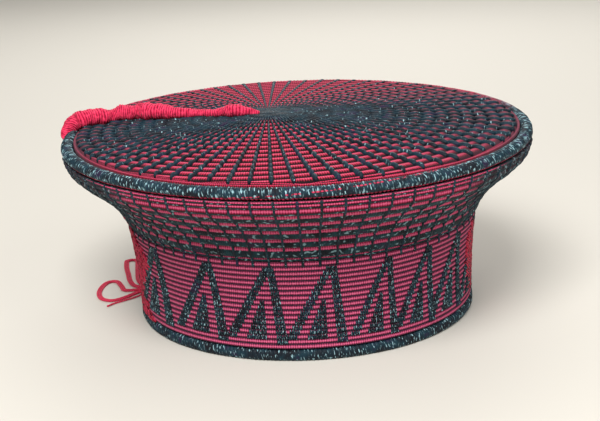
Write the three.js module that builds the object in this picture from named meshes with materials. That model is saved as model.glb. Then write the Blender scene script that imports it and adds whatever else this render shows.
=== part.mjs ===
// A wide-topped, flared coiled hat with raised radial ribs, a wound rim, a seam roll and a yarn tie.
// Millimetres, +Z up. The hat stands on its open base; the front is towards -Y.
import * as THREE from "three";

// The whole hat
const RIM_RADIUS = 150;
const RIM_OVAL = 0.012; // the rim is this share deeper than round, and this share narrower
const RIM_ROLL_RADIUS = 4;
const RIM_ROLL_HEIGHT = 114.6; // centre of the rolled edge above the base
const WALL = 4;
const GAP = 0.3; // clearance between pieces that meet
const ORIGIN_X = 1.65; // moves the hat so that its bounding box is centred on the origin

// The base stands a little off the rim's axis
const BASE_RADIUS = 106.6;
const BASE_OFFSET_X = 2.4;
const BASE_OFFSET_Y = 1.2;
const LEAN_POWER = 1.5;

// Radial ribs, spread evenly about a centre off to the left of the disc
const RIB_COUNT = 75;
const RIB_FIRST = THREE.MathUtils.degToRad(-88.9);
const RIB_HEIGHT = 1.2;
const RIB_CENTRE = new THREE.Vector2(-17.6, 4);

// Top disc
const DISC_RISE = 7.3; // middle above edge
const DISC_RISE_POWER = 1.15;
const DISC_EDGE_TOP = RIM_ROLL_HEIGHT + 3.8;
const DISC_TOP_ROWS = [0.08, 0.3, 0.55, 0.8, 1];
const DISC_UNDER_ROWS = [1, 0.5];

// Lower band and the bottom binding
const BINDING_HEIGHT = 7;
const BINDING_OUT = 1.2; // binding stands proud of the band
const BAND_TOP = 63;
const BAND_SEGMENTS = 60;

// Outer face of the band: up is a share of its height, out a share of its spread
const BAND_SPREAD = 4.7;
const BAND_ROWS = [
  { up: 0, out: 0 },
  { up: 0.25, out: 0.02 },
  { up: 0.5, out: 0.17 },
  { up: 0.75, out: 0.47 },
  { up: 1, out: 1 },
];

// Outer face of the flare: up is a share of its height, out a share of its spread
const FLARE_TOP = RIM_ROLL_HEIGHT - RIM_ROLL_RADIUS - GAP;
const FLARE_TOP_RADIUS = RIM_RADIUS - 1.6;
const FLARE_ROWS = [
  { up: 0, out: 0, inside: true },
  { up: 0.15, out: 0.078, inside: false },
  { up: 0.32, out: 0.197, inside: true },
  { up: 0.48, out: 0.375, inside: false },
  { up: 0.62, out: 0.577, inside: true },
  { up: 0.76, out: 0.817, inside: true },
  { up: 0.88, out: 0.957, inside: false },
  { up: 1, out: 1, inside: true },
];

// Seam roll: from the ribs' centre to the left edge of the disc and over it.
// along is a share of that line, bow a share of its bend to the back, thick a share of its radius.
const SEAM_AZIMUTH = THREE.MathUtils.degToRad(171);
const SEAM_BOW = 11.5;
const SEAM_RADIUS = 5;
const SEAM_SIDES = 10;
const SEAM_ROWS = [
  { along: 0.04, bow: -0.1, thick: 0.16 },
  { along: 0.1, bow: -0.2, thick: 0.48 },
  { along: 0.155, bow: -0.22, thick: 0.74 },
  { along: 0.21, bow: -0.1, thick: 0.58 },
  { along: 0.28, bow: 0.1, thick: 0.4 },
  { along: 0.36, bow: 0.34, thick: 0.44 },
  { along: 0.45, bow: 0.43, thick: 0.58 },
  { along: 0.53, bow: 0.52, thick: 0.84 },
  { along: 0.6, bow: 0.72, thick: 0.96 },
  { along: 0.66, bow: 0.9, thick: 0.96 },
  { along: 0.72, bow: 1, thick: 0.84 },
  { along: 0.78, bow: 0.97, thick: 0.92 },
  { along: 0.835, bow: 0.8, thick: 0.72 },
  { along: 0.875, bow: 0.6, thick: 0.86 },
  { along: 0.925, bow: 0.35, thick: 1 },
  { along: 0.97, bow: 0.1, thick: 0.96 },
];
// The end that turns down over the rolled edge: turn is degrees from straight up, thick as above
const SEAM_END_ROWS = [
  { turn: 5, thick: 0.9 },
  { turn: 35, thick: 0.78 },
  { turn: 58, thick: 0.56 },
  { turn: 66, thick: 0.2 },
];

// Yarn tie on the surface beside the base, at the foot of the seam
const KNOT_AZIMUTH = THREE.MathUtils.degToRad(164.6);
const KNOT_OUT = 3; // half sizes: away from the hat, along its wall, and up
const KNOT_ALONG = 6.2;
const KNOT_UP = 3;
const TIE_RADIUS = 1.2;
const TAIL_RADIUS = 0.7;
const TIE_SIDES = 8;
const FLOOR_GAP = 0.05;

// Strands as points chosen on the surface, from the knot's middle: out is away from the hat,
// back is along its wall to the rear. leave and enter are degrees round the knot from out to back.
const LOOP_LEFT = { leave: 15, enter: -15 };
const LOOP_LEFT_ROUTE = [
  { out: 6.2, back: 2 },
  { out: 11, back: -0.6 },
  { out: 17.2, back: -1.3 },
  { out: 22.6, back: 6.5 },
  { out: 29.2, back: 14.7 },
  { out: 34, back: 12.3 },
  { out: 34.3, back: 2.3 },
  { out: 31.5, back: -9.4 },
  { out: 25.5, back: -19.2 },
  { out: 17.8, back: -21.6 },
  { out: 12.1, back: -15.5 },
  { out: 8.6, back: -7.6 },
  { out: 6, back: -2.6 },
];
const LOOP_BACK = { leave: 90, enter: 44 };
const LOOP_BACK_ROUTE = [
  { out: 0.6, back: 8.6 },
  { out: 4.4, back: 10.6 },
  { out: 10.4, back: 12.6 },
  { out: 16.4, back: 21.7 },
  { out: 22.6, back: 36.7 },
  { out: 28.4, back: 51.8 },
  { out: 31.5, back: 59.8 },
  { out: 33.2, back: 61.4 },
  { out: 35.5, back: 61.4 },
  { out: 37.1, back: 59.7 },
  { out: 37.1, back: 57.4 },
  { out: 32, back: 44.4 },
  { out: 25.8, back: 31.6 },
  { out: 19.6, back: 18.8 },
  { out: 13.8, back: 10.4 },
  { out: 8.4, back: 7.6 },
  { out: 4.8, back: 5.9 },
];
const TAIL = { leave: -60 };
const TAIL_ROUTE = [
  { out: 2.2, back: -7.6 },
  { out: 4.2, back: -12.8 },
  { out: 9.2, back: -20.5 },
  { out: 13.7, back: -26.7 },
  { out: 16.6, back: -33.1 },
];

const RED = 0xb01a3c;
const BRIGHT_RED = 0xdc2450;
const BLACK = 0x202b30;

// Share of the way from the base's axis and roundness to the rim's
const leanAt = (z) => Math.pow(Math.max(z, 0) / RIM_ROLL_HEIGHT, LEAN_POWER);

// A point at a radius, an angle about the hat's axis and a height
function ringPoint(radius, angle, z) {
  const lean = leanAt(z);
  return new THREE.Vector3(
    BASE_OFFSET_X * (1 - lean) + radius * (1 - RIM_OVAL * lean) * Math.cos(angle),
    BASE_OFFSET_Y * (1 - lean) + radius * (1 + RIM_OVAL * lean) * Math.sin(angle),
    z,
  );
}

// Distance from the ribs' centre to an oval about the rim's axis, in one direction
function reachFromRibCentre(direction, radius) {
  const wide = radius * (1 - RIM_OVAL);
  const deep = radius * (1 + RIM_OVAL);
  const c = Math.cos(direction);
  const s = Math.sin(direction);
  const a = (c / wide) ** 2 + (s / deep) ** 2;
  const b = 2 * ((RIB_CENTRE.x * c) / wide ** 2 + (RIB_CENTRE.y * s) / deep ** 2);
  const k = (RIB_CENTRE.x / wide) ** 2 + (RIB_CENTRE.y / deep) ** 2 - 1;
  return (-b + Math.sqrt(b * b - 4 * a * k)) / (2 * a);
}

// Ribs and the valleys half-way between them, as directions about the ribs' centre
const RIBBED_DIRECTIONS = Array.from({ length: RIB_COUNT * 2 }, (_, i) => ({
  direction: RIB_FIRST + (i * Math.PI) / RIB_COUNT,
  rib: i % 2 === 0,
}));

// The same ribs where they cross the rim, as angles about the hat's axis
const RIBBED_ANGLES = RIBBED_DIRECTIONS.map(({ direction, rib }) => {
  const reach = reachFromRibCentre(direction, RIM_RADIUS);
  const x = RIB_CENTRE.x + reach * Math.cos(direction);
  const y = RIB_CENTRE.y + reach * Math.sin(direction);
  return { angle: Math.atan2(y / (1 + RIM_OVAL), x / (1 - RIM_OVAL)), rib };
});

const evenAngles = (count) =>
  Array.from({ length: count }, (_, i) => ({ angle: (i * 2 * Math.PI) / count, rib: false }));

// A solid from rings of points, each ring the same length. The rings close on each other,
// or the first and last are closed by a middle point each.
function ringSolid(rings, caps) {
  const sides = rings[0].length;
  const points = rings.flat();
  const index = [];
  const last = caps ? rings.length - 1 : rings.length;
  for (let r = 0; r < last; r++) {
    const low = r * sides;
    const high = ((r + 1) % rings.length) * sides;
    for (let i = 0; i < sides; i++) {
      const j = (i + 1) % sides;
      index.push(low + i, low + j, high + j, low + i, high + j, high + i);
    }
  }
  if (caps) {
    const start = points.push(caps[0]) - 1;
    const end = points.push(caps[1]) - 1;
    const top = (rings.length - 1) * sides;
    for (let i = 0; i < sides; i++) {
      const j = (i + 1) % sides;
      index.push(start, j, i, end, top + i, top + j);
    }
  }
  const geometry = new THREE.BufferGeometry();
  geometry.setFromPoints(points);
  geometry.setIndex(index);
  geometry.computeVertexNormals();
  return geometry;
}

function piece(name, geometry, colour) {
  const material = new THREE.MeshStandardMaterial({ color: colour, roughness: 0.85 });
  const mesh = new THREE.Mesh(geometry, material);
  mesh.name = name;
  return mesh;
}

// A wall with an outer profile of { r, z, inside }, its inner face set back square to it
function wall(profile, angles, ribHeight) {
  const outer = profile.map(({ r, z }) =>
    angles.map(({ angle, rib }) => ringPoint(r + (rib ? ribHeight : 0), angle, z)),
  );
  const inner = profile
    .map(({ r, z, inside }, i) => {
      const before = profile[Math.max(i - 1, 0)];
      const after = profile[Math.min(i + 1, profile.length - 1)];
      const atEnd = i === 0 || i === profile.length - 1;
      const slope = new THREE.Vector2(after.r - before.r, after.z - before.z).normalize();
      const back = atEnd ? { r: r - WALL, z } : { r: r - WALL * slope.y, z: z + WALL * slope.x };
      return inside ? angles.map(({ angle }) => ringPoint(back.r, angle, back.z)) : null;
    })
    .filter((ring) => ring)
    .reverse();
  return ringSolid([...outer, ...inner]);
}

// Height of the disc's top, by share of the way from the ribs' centre to the edge
const discTop = (share) =>
  DISC_EDGE_TOP + DISC_RISE * (1 - Math.pow(Math.min(share, 1), DISC_RISE_POWER));

function topDisc() {
  const edge = RIM_RADIUS - 2 * RIM_ROLL_RADIUS - GAP;
  const ring = (share, drop, ribHeight) =>
    RIBBED_DIRECTIONS.map(({ direction, rib }) => {
      const reach = share * reachFromRibCentre(direction, edge);
      return new THREE.Vector3(
        RIB_CENTRE.x + reach * Math.cos(direction),
        RIB_CENTRE.y + reach * Math.sin(direction),
        discTop(share) - drop + (rib ? ribHeight : 0),
      );
    });
  const under = DISC_UNDER_ROWS.map((share) => ring(share, WALL, 0)).reverse();
  const over = DISC_TOP_ROWS.map((share) => ring(share, 0, RIB_HEIGHT)).reverse();
  const middle = (drop) => new THREE.Vector3(RIB_CENTRE.x, RIB_CENTRE.y, discTop(0) - drop);
  return ringSolid([...under, ...over], [middle(WALL), middle(0)]);
}

// A ring of round or flattened section lying round the hat
function roll(section, angles) {
  return ringSolid(section.map(({ r, z }) => angles.map(({ angle }) => ringPoint(r, angle, z))));
}

function rimRoll() {
  const sides = 8;
  const section = Array.from({ length: sides }, (_, i) => {
    const turn = ((i + 0.5) * 2 * Math.PI) / sides;
    const size = RIM_ROLL_RADIUS / Math.cos(Math.PI / sides / 2);
    return {
      r: RIM_RADIUS - RIM_ROLL_RADIUS + size * Math.cos(turn) * 0.98,
      z: RIM_ROLL_HEIGHT + size * Math.sin(turn) * 0.98,
    };
  });
  return roll(section, evenAngles(RIB_COUNT));
}

function baseBinding() {
  const outer = BASE_RADIUS + BINDING_OUT;
  const inner = BASE_RADIUS - WALL - BINDING_OUT * 0.5;
  const section = [
    { r: inner + 1, z: 0 },
    { r: outer - 1.6, z: 0 },
    { r: outer, z: BINDING_HEIGHT * 0.3 },
    { r: outer, z: BINDING_HEIGHT * 0.75 },
    { r: outer - 1.4, z: BINDING_HEIGHT },
    { r: inner + 0.4, z: BINDING_HEIGHT },
    { r: inner, z: BINDING_HEIGHT * 0.5 },
  ];
  return roll(section, evenAngles(BAND_SEGMENTS));
}

function sideBand() {
  const bottom = BINDING_HEIGHT + GAP;
  const profile = BAND_ROWS.map(({ up, out }, i) => ({
    r: BASE_RADIUS + out * BAND_SPREAD,
    z: bottom + up * (BAND_TOP - bottom),
    inside: i % 2 === 0,
  }));
  return wall(profile, evenAngles(BAND_SEGMENTS), 0);
}

function sideFlare() {
  const bottom = BAND_TOP + GAP;
  const bottomRadius = BASE_RADIUS + BAND_SPREAD;
  const profile = FLARE_ROWS.map(({ up, out, inside }) => ({
    r: bottomRadius + out * (FLARE_TOP_RADIUS - bottomRadius),
    z: bottom + up * (FLARE_TOP - bottom),
    inside,
  }));
  return wall(profile, RIBBED_ANGLES, RIB_HEIGHT);
}

// Middle line and radius of the seam roll, lying on the disc and then over the rolled edge
function seamStations() {
  const start = RIB_CENTRE;
  const rollPath = RIM_RADIUS - RIM_ROLL_RADIUS;
  const end = ringPoint(rollPath, SEAM_AZIMUTH, RIM_ROLL_HEIGHT);
  const run = new THREE.Vector2(end.x - start.x, end.y - start.y);
  const side = new THREE.Vector2(run.y, -run.x).normalize();
  const onDisc = SEAM_ROWS.map(({ along, bow, thick }) => {
    const radius = thick * SEAM_RADIUS;
    const x = start.x + along * run.x + bow * SEAM_BOW * side.x;
    const y = start.y + along * run.y + bow * SEAM_BOW * side.y;
    const direction = Math.atan2(y - start.y, x - start.x);
    const edge = RIM_RADIUS - 2 * RIM_ROLL_RADIUS;
    const reach = Math.hypot(x - start.x, y - start.y) / reachFromRibCentre(direction, edge);
    const lift = RIB_HEIGHT + GAP + radius;
    return { centre: new THREE.Vector3(x, y, discTop(reach) + lift), radius };
  });
  const overEdge = SEAM_END_ROWS.map(({ turn, thick }) => {
    const radius = thick * SEAM_RADIUS;
    const far = RIM_ROLL_RADIUS * 1.06 + GAP + radius;
    const angle = THREE.MathUtils.degToRad(turn);
    const height = RIM_ROLL_HEIGHT + far * Math.cos(angle);
    const point = ringPoint(rollPath + far * Math.sin(angle), SEAM_AZIMUTH, RIM_ROLL_HEIGHT);
    return { centre: point.setZ(height), radius };
  });
  return [...onDisc, ...overEdge];
}

function seamRoll() {
  const stations = seamStations();
  const rings = stations.map(({ centre, radius }, i) => {
    const before = stations[Math.max(i - 1, 0)].centre;
    const after = stations[Math.min(i + 1, stations.length - 1)].centre;
    const ahead = after.clone().sub(before).normalize();
    const across = new THREE.Vector3(0, 0, 1).cross(ahead).normalize();
    const up = ahead.clone().cross(across);
    return Array.from({ length: SEAM_SIDES }, (_, k) => {
      const turn = (k * 2 * Math.PI) / SEAM_SIDES;
      return centre
        .clone()
        .addScaledVector(across, radius * Math.cos(turn))
        .addScaledVector(up, radius * Math.sin(turn));
    });
  });
  return ringSolid(rings, [stations[0].centre, stations[stations.length - 1].centre]);
}

// A point of the surface beside the knot, whose inner side lies against the binding
function besideKnot({ out, back }, height) {
  const standOff = BASE_RADIUS + BINDING_OUT + GAP + KNOT_OUT + out;
  const c = Math.cos(KNOT_AZIMUTH);
  const s = Math.sin(KNOT_AZIMUTH);
  const x = BASE_OFFSET_X + standOff * c + back * s;
  const y = BASE_OFFSET_Y + standOff * s - back * c;
  return new THREE.Vector3(x, y, height);
}

const knotHeight = KNOT_UP + FLOOR_GAP;

function knot() {
  const geometry = new THREE.SphereGeometry(1, 12, 8);
  geometry.scale(KNOT_OUT, KNOT_ALONG, KNOT_UP);
  geometry.rotateZ(KNOT_AZIMUTH);
  const { x, y, z } = besideKnot({ out: 0, back: 0 }, knotHeight);
  geometry.translate(x, y, z);
  return geometry;
}

// Where a strand meets the knot's side, clear of it by the gap at the strand's own top
function knotSide(degrees, radius) {
  const turn = THREE.MathUtils.degToRad(degrees);
  const below = Math.max(knotHeight - 2 * radius - FLOOR_GAP, 0) / KNOT_UP;
  const share = Math.sqrt(1 - below * below);
  return {
    out: (KNOT_OUT * share + GAP) * Math.cos(turn),
    back: (KNOT_ALONG * share + GAP) * Math.sin(turn),
  };
}

// A strand lying on the surface, from the knot and, where it is a loop, back to it
function strand({ leave, enter }, route, radius, steps) {
  const ends = enter === undefined ? [] : [knotSide(enter, radius)];
  const points = [knotSide(leave, radius), ...route, ...ends];
  const path = new THREE.CatmullRomCurve3(
    points.map((point) => besideKnot(point, radius + FLOOR_GAP)),
    false,
    "centripetal",
  );
  const outline = new THREE.Shape();
  for (let i = 0; i < TIE_SIDES; i++) {
    const turn = ((i + 0.5) * 2 * Math.PI) / TIE_SIDES;
    const [x, y] = [radius * Math.cos(turn), radius * Math.sin(turn)];
    if (i === 0) outline.moveTo(x, y);
    else outline.lineTo(x, y);
  }
  outline.closePath();
  return new THREE.ExtrudeGeometry(outline, { steps, extrudePath: path, curveSegments: 1 });
}

const hat = new THREE.Group();
hat.name = "zulu_hat";
hat.add(
  piece("top_disc", topDisc(), RED),
  piece("rim_roll", rimRoll(), BLACK),
  piece("side_flare", sideFlare(), RED),
  piece("side_band", sideBand(), RED),
  piece("base_binding", baseBinding(), BLACK),
  piece("seam_roll", seamRoll(), BRIGHT_RED),
  piece("tie_knot", knot(), BRIGHT_RED),
  piece("tie_loop_left", strand(LOOP_LEFT, LOOP_LEFT_ROUTE, TIE_RADIUS, 44), BRIGHT_RED),
  piece("tie_loop_back", strand(LOOP_BACK, LOOP_BACK_ROUTE, TIE_RADIUS, 44), BRIGHT_RED),
  piece("tie_tail", strand(TAIL, TAIL_ROUTE, TAIL_RADIUS, 14), BRIGHT_RED),
);
hat.position.x = ORIGIN_X;

export default hat;
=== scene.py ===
import math

import bmesh
import bpy
import numpy as np
from mathutils import Matrix, Vector


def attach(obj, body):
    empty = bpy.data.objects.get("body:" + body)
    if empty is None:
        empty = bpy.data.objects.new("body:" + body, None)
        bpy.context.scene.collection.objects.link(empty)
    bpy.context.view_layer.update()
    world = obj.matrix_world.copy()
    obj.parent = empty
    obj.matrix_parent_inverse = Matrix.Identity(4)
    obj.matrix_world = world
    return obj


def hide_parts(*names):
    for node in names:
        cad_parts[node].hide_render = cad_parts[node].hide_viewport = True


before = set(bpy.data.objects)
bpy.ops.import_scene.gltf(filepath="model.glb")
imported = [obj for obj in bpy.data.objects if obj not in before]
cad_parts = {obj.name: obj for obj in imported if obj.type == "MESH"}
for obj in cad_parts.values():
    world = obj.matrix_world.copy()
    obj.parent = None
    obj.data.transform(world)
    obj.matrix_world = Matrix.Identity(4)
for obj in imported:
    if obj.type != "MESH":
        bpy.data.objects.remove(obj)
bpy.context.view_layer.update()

# ---------------------------------------------------------------------------
# Camera: a long lens in front of the hat, a little above its top, so that the
# ribbed disc shows as a flat oval. The picture leans 2.5 degrees to the left.
# ---------------------------------------------------------------------------
MM = 0.001
VIEW_TARGET = Vector((1.65, 0.0, 60.0)) * MM
VIEW_DISTANCE = 940 * MM
VIEW_RAISED = math.radians(16.28)
VIEW_LEAN = math.radians(-2.48)

lens = bpy.data.cameras.new("camera")
lens.sensor_width = 36
lens.lens = 87.4
lens.shift_y = 0.0037
camera = bpy.data.objects.new("camera", lens)
bpy.context.scene.collection.objects.link(camera)
away = Vector((0, -math.cos(VIEW_RAISED), math.sin(VIEW_RAISED)))
camera.matrix_world = (
    Matrix.Translation(VIEW_TARGET + away * VIEW_DISTANCE)
    @ away.to_track_quat("Z", "Y").to_matrix().to_4x4()
    @ Matrix.Rotation(VIEW_LEAN, 4, "Z")
)
bpy.context.scene.camera = camera
bpy.context.scene.view_settings.view_transform = "Standard"

# ---------------------------------------------------------------------------
# Yarn tie: two loops of threefold red yarn and one short end, lying on the
# surface beside the base, and the knot that gathers them against the binding.
# The yarn is two-ply and limp; each strand is about 1.2 mm thick.
# ---------------------------------------------------------------------------
SHIFT_X = 1.65  # the rim's middle in the frame, in x
BASE_OFF = (2.4, 1.2)  # the base's middle from the rim's, since the hat leans a little
BASE_RADIUS = 106.6
STRAND = 1.2
STRAND_CLEAR = 0.08  # between the strand and the surface
PLY_TURN = 3.6  # length in which the two plies change sides
KNOT_AZIMUTH = math.radians(164.6)
KNOT_HALF = (3.0, 6.2, 3.0)  # away from the hat, along its wall, up
KNOT_TURNS = 7
KNOT_GAP = 0.3
KNOT_STAND_OFF = BASE_RADIUS + 1.2 + KNOT_GAP + KNOT_HALF[0]  # the binding stands out 1.2
# Points on the surface, from the knot's middle: away from the hat, and back along its wall
LOOP_LEFT = [
    (3.1, 1.6), (6.2, 2), (11, -0.6), (17.2, -1.3), (22.6, 6.5), (29.2, 14.7), (34, 12.3),
    (34.3, 2.3), (31.5, -9.4), (25.5, -19.2), (17.8, -21.6), (12.1, -15.5), (8.6, -7.6),
    (6, -2.6), (3.1, -1.6),
]
LOOP_BACK = [
    (0, 6.3), (0.6, 8.6), (4.4, 10.6), (10.4, 12.6), (16.4, 21.7), (22.6, 36.7), (28.4, 51.8),
    (31.5, 59.8), (33.2, 61.4), (35.5, 61.4), (37.1, 59.7), (37.1, 57.4), (32, 44.4),
    (25.8, 31.6), (19.6, 18.8), (13.8, 10.4), (8.4, 7.6), (4.8, 5.9), (2.3, 4.4),
]
TAIL = [(1.5, -5.3), (2.2, -7.6), (4.2, -12.8), (9.2, -20.5), (13.7, -26.7), (16.6, -33.1)]


def linear(colour):
    """An sRGB hex colour as the linear values that a shader takes."""
    parts = [int(colour[i : i + 2], 16) / 255 for i in (1, 3, 5)]
    return [c / 12.92 if c <= 0.04045 else ((c + 0.055) / 1.055) ** 2.4 for c in parts] + [1.0]


def add(material, kind, inputs=None, stops=(), **settings):
    """A node with its settings; an input is a number, a colour, or a socket to link from, and a
    colour ramp's stops are (position, hex) pairs."""
    node = material.node_tree.nodes.new(kind)
    for name, value in settings.items():
        setattr(node, name, value)
    for n, (position, colour) in enumerate(stops):
        band = node.color_ramp.elements
        stop = band[0] if n == 0 else band[-1] if n == len(stops) - 1 else band.new(position)
        stop.position = position
        stop.color = linear(colour)
    for name, value in (inputs or {}).items():
        if isinstance(value, bpy.types.NodeSocket):
            material.node_tree.links.new(value, node.inputs[name])
        else:
            node.inputs[name].default_value = value
    return node


def new_material(name, roughness, sheen, specular):
    material = bpy.data.materials.new(name)
    material.use_nodes = True
    shader = material.node_tree.nodes["Principled BSDF"]
    shader.inputs["Roughness"].default_value = roughness
    shader.inputs["Sheen Weight"].default_value = sheen
    shader.inputs["Sheen Roughness"].default_value = 0.4
    shader.inputs["Specular IOR Level"].default_value = specular
    return material, shader


def turn_crest(material, turns):
    """0 between two turns of yarn and 1 on the crest of each, from the running count of turns."""
    angle = add(material, "ShaderNodeMath", {0: turns, 1: math.pi}, operation="MULTIPLY")
    wave = add(material, "ShaderNodeMath", {0: angle.outputs[0]}, operation="SINE")
    return add(material, "ShaderNodeMath", {0: wave.outputs[0]}, operation="ABSOLUTE").outputs[0]


def link_up(material, shader, colour, height, deep_mm):
    """Gives the shader its colour and the yarn's low relief."""
    bump = add(
        material, "ShaderNodeBump", {"Height": height, "Distance": deep_mm * MM, "Strength": 0.8}
    )
    material.node_tree.links.new(colour, shader.inputs["Base Color"])
    material.node_tree.links.new(bump.outputs["Normal"], shader.inputs["Normal"])


def plain_yarn(name, light, middle, dark, fuzz_mm, fuzzy):
    """Knitting yarn, soft and matt. Each ply or turn has a painted highlight on its crest and painted
    shade, deep red, beside the next, and fuzz lies over them in light and dark tufts of fuzz_mm,
    drawn coarser than its fibres so that they show."""
    material, shader = new_material(name, 0.85, 0.08, 0.2)
    uv = add(material, "ShaderNodeUVMap", uv_map="turns")
    parts = add(material, "ShaderNodeSeparateXYZ", {0: uv.outputs["UV"]})
    crest = turn_crest(material, parts.outputs["X"])
    place = add(material, "ShaderNodeTexCoord")
    fuzz = add(
        material, "ShaderNodeTexNoise",
        {"Vector": place.outputs["Object"], "Scale": 1 / (fuzz_mm * MM), "Detail": 3.0},
    )
    tone = add(material, "ShaderNodeMath", {0: fuzz.outputs["Fac"], 1: -0.5}, operation="ADD")
    # Painted highlight on each crest and painted shade between, with random light and dark tufts over
    # them
    shade = add(
        material, "ShaderNodeMath", {0: tone.outputs[0], 1: fuzzy, 2: crest}, operation="MULTIPLY_ADD"
    )
    colour = add(
        material, "ShaderNodeValToRGB", {"Fac": shade.outputs[0]},
        stops=[(0.1, dark), (0.55, middle), (0.95, light)],
    )
    link_up(material, shader, colour.outputs["Color"], shade.outputs[0], 0.25)
    return material


def beside_knot(out, back, height):
    """The place at these distances from the knot's middle, away from the hat and back along its
    wall, and at this height over the surface, in metres."""
    c, s = math.cos(KNOT_AZIMUTH), math.sin(KNOT_AZIMUTH)
    stand_off = KNOT_STAND_OFF + out
    x = BASE_OFF[0] + stand_off * c + back * s + SHIFT_X
    y = BASE_OFF[1] + stand_off * s - back * c
    return Vector((x, y, height)) * MM


def smooth_line(points, steps):
    """A Catmull-Rom line through the points, in pairs."""
    p = np.array([points[0], *points, points[-1]], float)
    line = []
    for i in range(1, len(p) - 2):
        a, b, c, d = p[i - 1 : i + 3]
        for t in np.arange(steps) / steps:
            line.append(
                0.5 * (2 * b + (c - a) * t + (2 * a - 5 * b + 4 * c - d) * t**2
                       + (3 * b - a - 3 * c + d) * t**3)
            )
    return np.array([*line, p[-2]])


def beside_line(line, shift):
    """The line moved sideways in its plane, to the left of its own direction."""
    ahead = np.gradient(line, axis=0)
    ahead /= np.linalg.norm(ahead, axis=1)[:, None]
    return line + shift * np.column_stack([-ahead[:, 1], ahead[:, 0]])


def finished(name, bm, materials):
    """A smooth-shaded object from a bmesh, at the origin."""
    mesh = bpy.data.meshes.new(name)
    bm.to_mesh(mesh)
    bm.free()
    mesh.shade_smooth()
    for material in materials:
        mesh.materials.append(material)
    piece = bpy.data.objects.new(name, mesh)
    bpy.context.scene.collection.objects.link(piece)
    return piece


def wrapped_grid(across, along):
    """A flat grid that will be wrapped into a tube or ring, with its numbers kept on it."""
    bm = bmesh.new()
    bmesh.ops.create_grid(bm, x_segments=across, y_segments=along, size=0.5, calc_uvs=False)
    bm.verts.ensure_lookup_table()
    flat = np.array([v.co for v in bm.verts])
    i = np.rint((flat[:, 0] + 0.5) * across).astype(int)
    j = np.rint((flat[:, 1] + 0.5) * along).astype(int)
    return bm, i, j


def close_up(bm, places, map_u, map_v):
    """Moves the grid's points into place, keeps the map, closes the seams and turns faces out."""
    layer = bm.loops.layers.uv.new("turns")
    for face in bm.faces:
        for loop in face.loops:
            n = loop.vert.index
            loop[layer].uv = (map_u[n], map_v[n])
    for vertex, place in zip(bm.verts, places):
        vertex.co = place
    bmesh.ops.remove_doubles(bm, verts=bm.verts, dist=1e-6)
    bmesh.ops.dissolve_degenerate(bm, edges=bm.edges, dist=1e-7)
    bmesh.ops.recalc_face_normals(bm, faces=bm.faces)


def yarn_strand(name, line, material):
    """A two-ply strand along a line on the surface: a waisted section that turns as it goes."""
    route = [beside_knot(*point, STRAND / 2 + STRAND_CLEAR) for point in line]
    sides, rings = 10, len(route) - 1
    bm, i, j = wrapped_grid(sides, rings + 2)
    at = np.clip(j - 1, 0, rings)
    ahead = [(route[min(k + 1, rings)] - route[max(k - 1, 0)]).normalized() for k in range(rings + 1)]
    run = np.cumsum([0.0] + [(route[k + 1] - route[k]).length for k in range(rings)])
    level = Vector((0, 0, 1))
    places = []
    for a, b, k in zip(i, j, at):
        turn = a * 2 * math.pi / sides
        twist = run[k] / (PLY_TURN * MM) * math.pi
        size = STRAND / 2 * MM * (0.8 + 0.2 * abs(math.cos(turn - twist)))
        if b in (0, rings + 2):
            size = 0.0
        aside = level.cross(ahead[k]).normalized()
        places.append(route[k] + size * (aside * math.cos(turn) + level * math.sin(turn)))
    close_up(bm, places, i * 2 / sides + run[at] / (PLY_TURN / 2 * MM), j)
    piece = finished(name, bm, [material])
    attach(piece, "root")
    return piece


# Two-ply yarn: its plies read as fine slanting lines, 1.8 mm apart
tie_yarn = plain_yarn("red_acrylic_yarn_two_ply", "#F8486A", "#D8284A", "#8C1230", 0.9, 0.9)
for name, points, shift, node in (  # shift: how far the strand lies to the left of its line
    ("tie_left_inner", LOOP_LEFT, -0.7, "tie_loop_left"),
    ("tie_left_middle", LOOP_LEFT, 0.5, "tie_loop_left"),
    ("tie_left_outer", LOOP_LEFT, 1.7, "tie_loop_left"),
    ("tie_back_inner", LOOP_BACK, -0.3, "tie_loop_back"),
    ("tie_back_middle", LOOP_BACK, 0.9, "tie_loop_back"),
    ("tie_back_outer", LOOP_BACK, 2.1, "tie_loop_back"),
    ("tie_end", TAIL, 0.0, "tie_tail"),
):
    strand = yarn_strand(name, beside_line(smooth_line(points, 10), shift), tie_yarn)
    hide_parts(node)

# The knot: wrapped yarn pulled into an oval lump
bm = bmesh.new()
layer = bm.loops.layers.uv.new("turns")
bmesh.ops.create_uvsphere(bm, u_segments=40, v_segments=20, radius=1.0, calc_uvs=True)
for face in bm.faces:
    for loop in face.loops:
        loop[layer].uv = (loop[layer].uv[1] * KNOT_TURNS, loop[layer].uv[0])
for vertex in bm.verts:
    x, y, z = vertex.co
    lump = 1 - 0.1 * abs(math.sin(y * 5.5 + z * 1.2))
    vertex.co = Vector((x * KNOT_HALF[0], y * KNOT_HALF[1], z * KNOT_HALF[2])) * lump * MM
middle = beside_knot(0, 0, KNOT_HALF[2] + 0.05)
bmesh.ops.rotate(bm, verts=bm.verts, matrix=Matrix.Rotation(KNOT_AZIMUTH, 3, "Z"))
bmesh.ops.translate(bm, verts=bm.verts, vec=middle)
tie_knot = finished("tie_knot_yarn", bm, [tie_yarn])
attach(tie_knot, "root")
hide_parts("tie_knot")

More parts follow.
